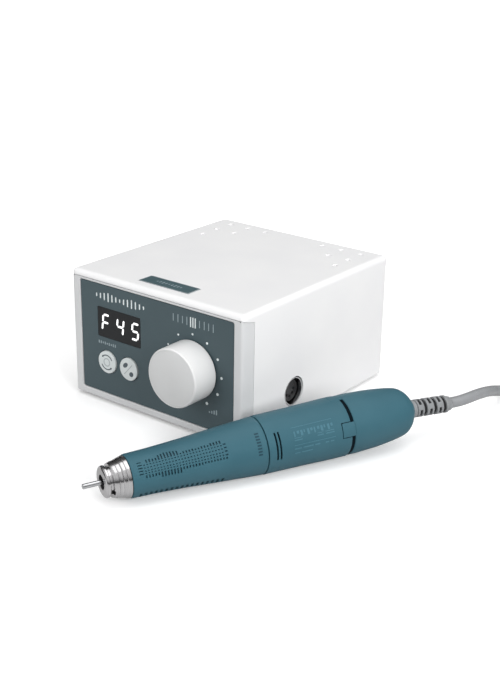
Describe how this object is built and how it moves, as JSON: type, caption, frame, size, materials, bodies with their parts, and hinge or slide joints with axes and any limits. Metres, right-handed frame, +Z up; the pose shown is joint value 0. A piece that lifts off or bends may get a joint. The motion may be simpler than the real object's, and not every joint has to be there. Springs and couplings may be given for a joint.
{
  "type": "rotary motor set",
  "caption": "Bench control unit with display, speed knob and keys, and a corded rotary handpiece lying beside it.",
  "frame": {"origin": "below the middle of the control unit and handpiece together, on the surface that they stand on", "axes": "+Z up, -Y the side that the front panel faces, +X the side with the handpiece socket"},
  "size_m": [0.2604, 0.3237, 0.0692],
  "materials": {
    "housing": "fine satin white moulding",
    "bezel": "satin pale grey moulding",
    "tray": "satin white moulding",
    "panel": "printed slate film with white marks",
    "badge": "slate label with a pale border",
    "window": "dark glossy filter with lit white segments",
    "button": "satin pale grey cap with a printed sign",
    "knob": "satin white knob",
    "teal_shell": "fine textured teal moulding",
    "foot_rubber": "matt black rubber",
    "grey_rubber": "satin grey rubber",
    "cord_jacket": "glossy grey jacket",
    "dark_plastic": "satin black moulding",
    "inlet_plastic": "fine grained black moulding",
    "steel": "turned and polished stainless steel",
    "bright_steel": "ground bright steel",
    "board": "green solder mask",
    "iron": "dark lacquered laminations",
    "copper": "enamelled copper",
    "brass": "plated brass",
    "carbon": "pressed carbon"
  },
  "bodies": {
    "control_unit": {"top_cover": "housing", "front_bezel": "bezel", "base_tray": "tray", "nameplate": "badge", "front_panel": "panel", "display_window": "window", "display_module": "dark_plastic", "tact_switch_reverse": "dark_plastic", "tact_switch_select": "dark_plastic", "potentiometer": "iron", "pot_nut": "steel", "control_board": "board", "socket_shell": "steel", "socket_insert": "dark_plastic", "main_board": "board", "power_transformer": "iron", "power_inlet": "inlet_plastic", "rocker_frame": "inlet_plastic", "foot_front_left": "foot_rubber", "foot_rear_left": "foot_rubber", "foot_front_right": "foot_rubber", "foot_rear_right": "foot_rubber", "housing_screw_front_left": "steel", "housing_screw_rear_left": "steel", "housing_screw_front_right": "steel", "housing_screw_rear_right": "steel"},
    "knob": {"speed_knob": "knob", "pot_shaft": "steel"},
    "reverse_key": {"button_reverse": "button"},
    "select_key": {"button_select": "button"},
    "power_key": {"power_rocker": "inlet_plastic"},
    "handpiece": {"nose_cone": "steel", "front_tube": "steel", "front_bearing": "bright_steel", "middle_bearing": "bright_steel", "rear_bearing": "bright_steel", "motor_can": "iron", "brush_upper": "carbon", "brush_lower": "carbon", "motor_housing": "teal_shell", "rear_cap": "teal_shell", "strain_relief": "grey_rubber", "cord_lead": "cord_jacket", "cord_coil": "cord_jacket", "cord_tail": "cord_jacket", "plug_strain_relief": "foot_rubber", "plug_grip": "dark_plastic", "plug_shell": "bright_steel", "plug_insert": "brass"},
    "grip": {"grip_sleeve": "teal_shell"},
    "rotor": {"spindle": "steel", "collet": "steel", "collet_spring": "bright_steel", "motor_shaft": "bright_steel", "armature": "copper", "commutator": "copper"},
    "bur_shank": {"bur": "bright_steel"}
  },
  "joints": [
    {"name": "speed_knob_turn", "type": "hinge", "parent": "control_unit", "child": "knob", "pos_m": [-0.00841, -0.02816, 0.0346], "axis": [0, 1, 0], "range_deg": [-270, 30]},
    {"name": "reverse_button_press", "type": "slide", "parent": "control_unit", "child": "reverse_key", "axis": [0, 1, 0], "range_m": [0, 0.001], "stiffness_N_per_m": 200, "springref_m": -0.0005},
    {"name": "select_button_press", "type": "slide", "parent": "control_unit", "child": "select_key", "axis": [0, 1, 0], "range_m": [0, 0.001], "stiffness_N_per_m": 200, "springref_m": -0.0005},
    {"name": "power_rocker_tip", "type": "hinge", "parent": "control_unit", "child": "power_key", "pos_m": [-0.02501, 0.10184, 0.025], "axis": [1, 0, 0], "range_deg": [-16, 0]},
    {"name": "handpiece_lift", "type": "slide", "parent": "control_unit", "child": "handpiece", "axis": [0, 0, 1], "range_m": [0, 0.15]},
    {"name": "grip_sleeve_twist", "type": "hinge", "parent": "handpiece", "child": "grip", "pos_m": [0.02387, -0.06494, 0.0126], "axis": [0.4327, 0.9011, 0.0297], "range_deg": [0, 75]},
    {"name": "spindle_spin", "type": "hinge", "parent": "handpiece", "child": "rotor", "pos_m": [0.03253, -0.04692, 0.01319], "axis": [0.4327, 0.9011, 0.0297], "continuous": true},
    {"name": "bur_draw", "type": "slide", "parent": "rotor", "child": "bur_shank", "axis": [-0.4327, -0.9011, -0.0297], "range_m": [0, 0.032]}
  ]
}
